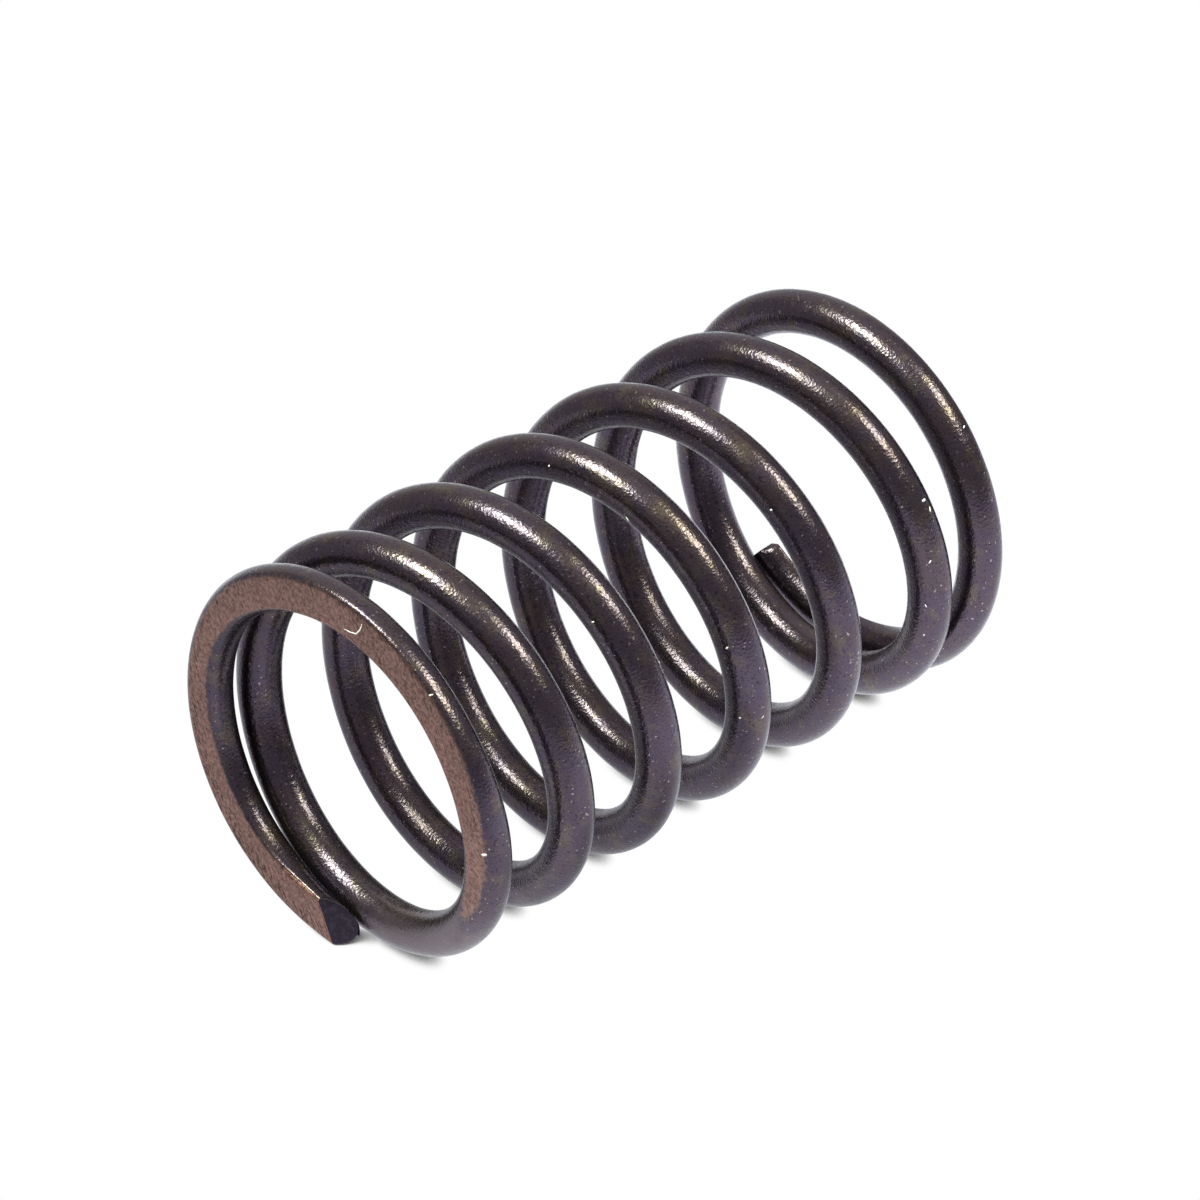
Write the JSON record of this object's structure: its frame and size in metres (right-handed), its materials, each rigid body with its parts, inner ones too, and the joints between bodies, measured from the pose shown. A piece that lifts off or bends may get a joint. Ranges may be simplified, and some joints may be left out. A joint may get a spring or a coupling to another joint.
{
  "type": "valve spring",
  "caption": "Helical compression spring in dark round wire with closed, flat-ground ends and open working coils that widen away from one end.",
  "frame": {"origin": "on the coil axis, in the plane of the bottom ground face", "axes": "+Z along the coil axis from the bottom ground face to the top one, +X through the tip of the top end coil"},
  "size_m": [0.0209, 0.0211, 0.0351],
  "materials": {
    "oxide_steel": "dark oxide skin on peened spring wire, satin"
  },
  "bodies": {
    "root": {"valve_spring": "oxide_steel"}
  },
  "joints": []
}
